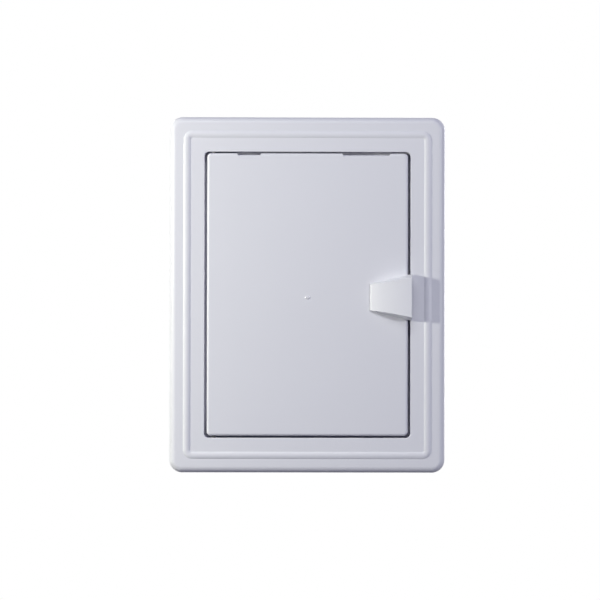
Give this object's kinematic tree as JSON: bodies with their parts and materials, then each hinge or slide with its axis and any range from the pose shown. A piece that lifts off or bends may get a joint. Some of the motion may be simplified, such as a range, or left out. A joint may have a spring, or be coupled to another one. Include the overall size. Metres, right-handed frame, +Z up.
{
  "type": "access panel",
  "caption": "Moulded white plastic access hatch: a rolled flange frame with a raised bead, a side-hung door on hidden pins, and a wedge pull handle over a sprung latch.",
  "frame": {"origin": "middle of the hatch on the wall's face, which the flange's rim rests on", "axes": "+X to the right seen from the front, +Y into the wall, +Z up"},
  "size_m": [0.172, 0.041, 0.222],
  "materials": {
    "frame_plastic": "satin white moulded plastic",
    "door_plastic": "satin white moulded plastic",
    "handle_plastic": "satin white moulded plastic",
    "latch_plastic": "natural white spring plastic",
    "pin_steel": "dark drawn steel",
    "screw_steel": "zinc-plated steel"
  },
  "bodies": {
    "surround": {"frame": "frame_plastic", "upper_hinge_pin": "pin_steel", "lower_hinge_pin": "pin_steel"},
    "door": {"door_leaf": "door_plastic", "pull_handle": "handle_plastic", "handle_screws": "screw_steel"},
    "latch": {"latch_tongue": "latch_plastic"}
  },
  "joints": [
    {"name": "door_hinge", "type": "hinge", "parent": "surround", "child": "door", "pos_m": [-0.05835, -0.003, 0], "axis": [0, 0, -1], "range_deg": [0, 120]},
    {"name": "latch_spring_back", "type": "hinge", "parent": "door", "child": "latch", "pos_m": [0.05705, -0.00115, -0.0015], "axis": [0, 0, 1], "range_deg": [0, 12], "stiffness_Nm_per_rad": 0.2}
  ]
}
